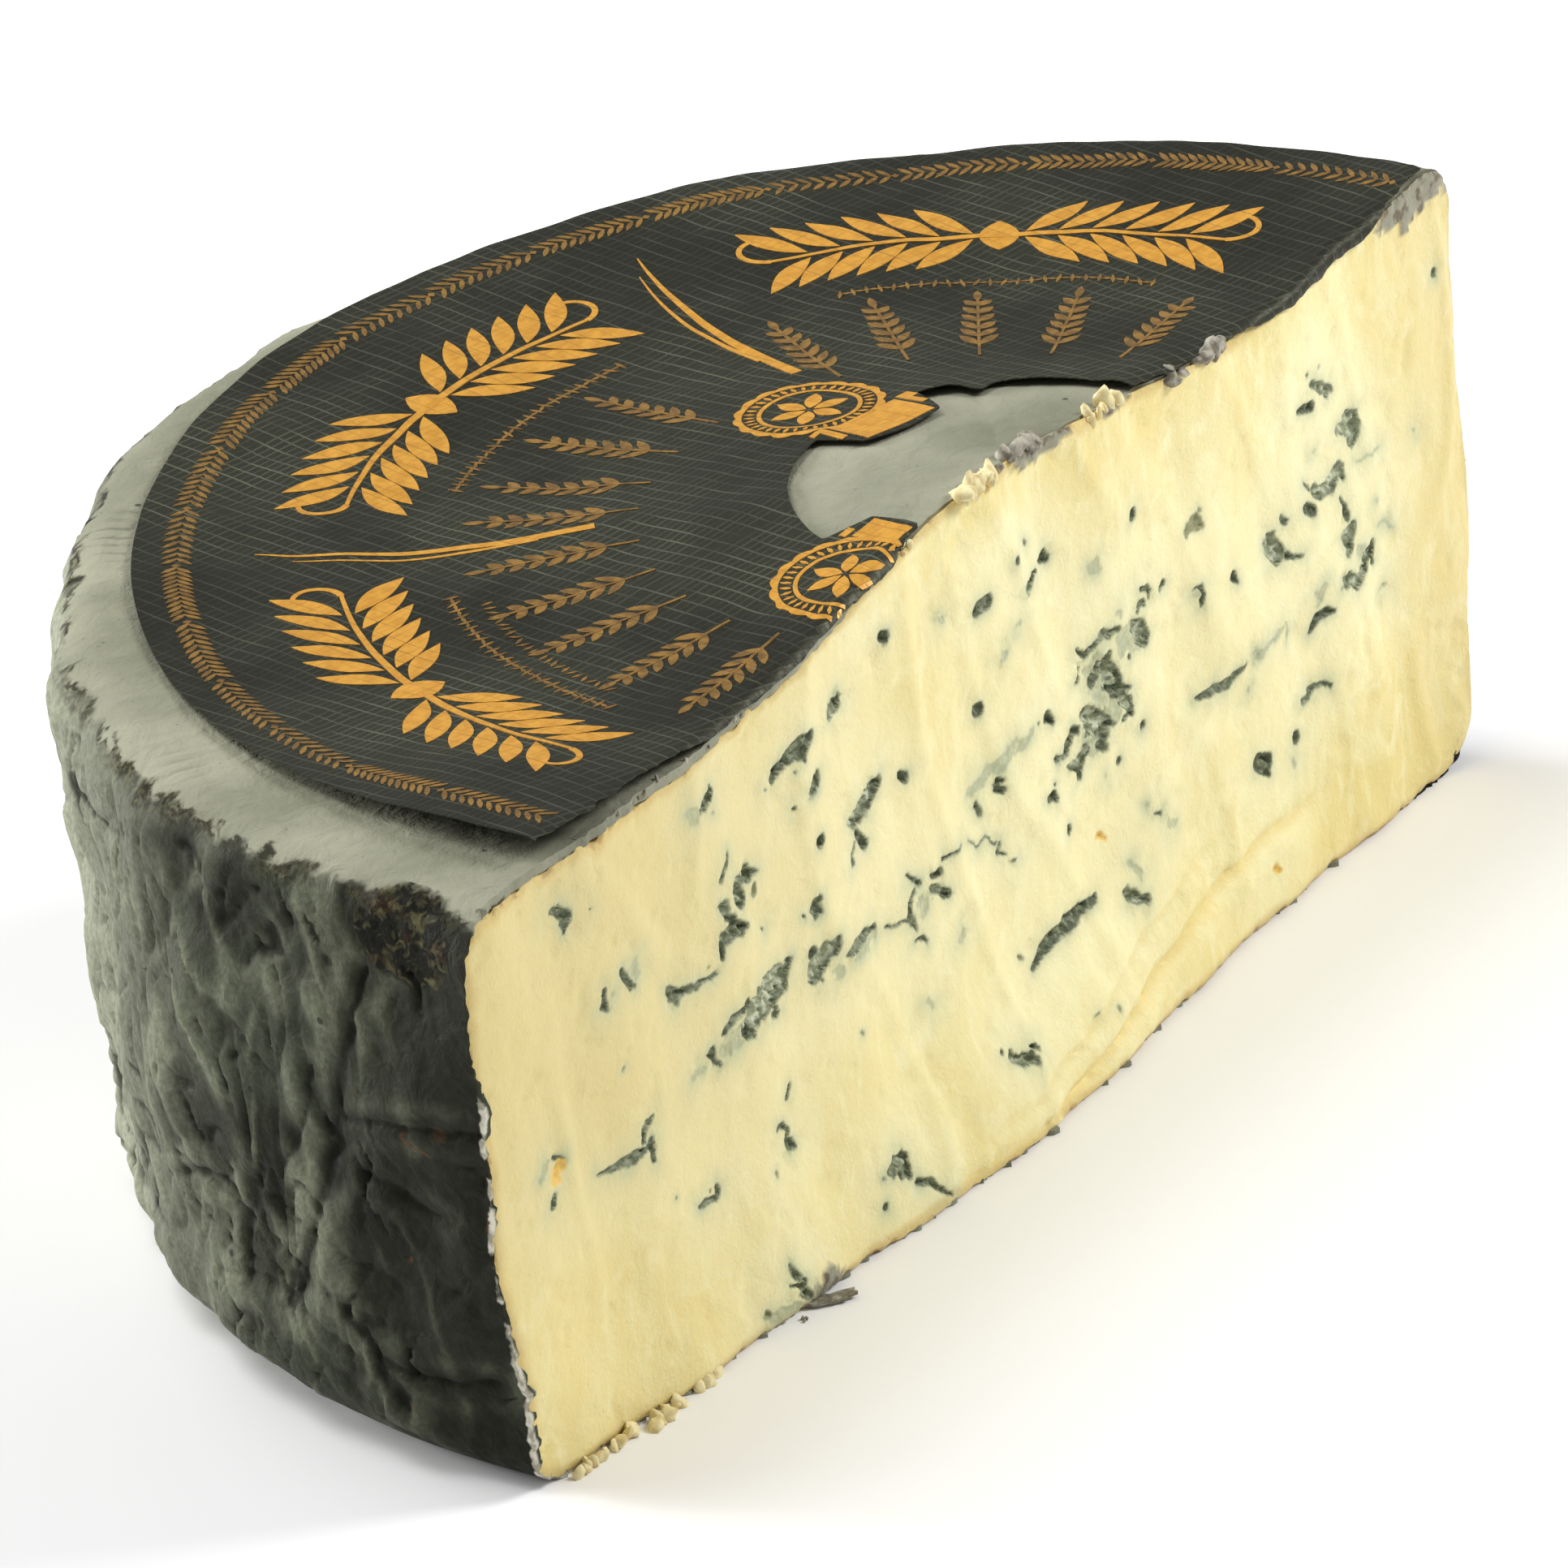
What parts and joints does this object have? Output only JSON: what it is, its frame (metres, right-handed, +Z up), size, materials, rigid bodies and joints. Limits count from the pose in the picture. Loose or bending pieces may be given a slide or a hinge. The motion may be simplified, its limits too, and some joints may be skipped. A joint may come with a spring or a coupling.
{
  "type": "half blue cheese wheel",
  "caption": "Half of a round blue cheese, cut straight down, with a veined cut face, a grey folded rind and a round dark foil label with a hole in its middle.",
  "frame": {"origin": "on the surface the cheese stands on, under the middle of its bounds", "axes": "+X along the cut, +Y from the cut into the cheese, so that the cut faces -Y, +Z up"},
  "size_m": [0.1998, 0.1034, 0.074],
  "materials": {
    "cheese": "moist pale cheese with a grey mould rind",
    "label": "thin embossed foil, black with gold print"
  },
  "bodies": {
    "root": {"cheese": "cheese", "label": "label"}
  },
  "joints": []
}
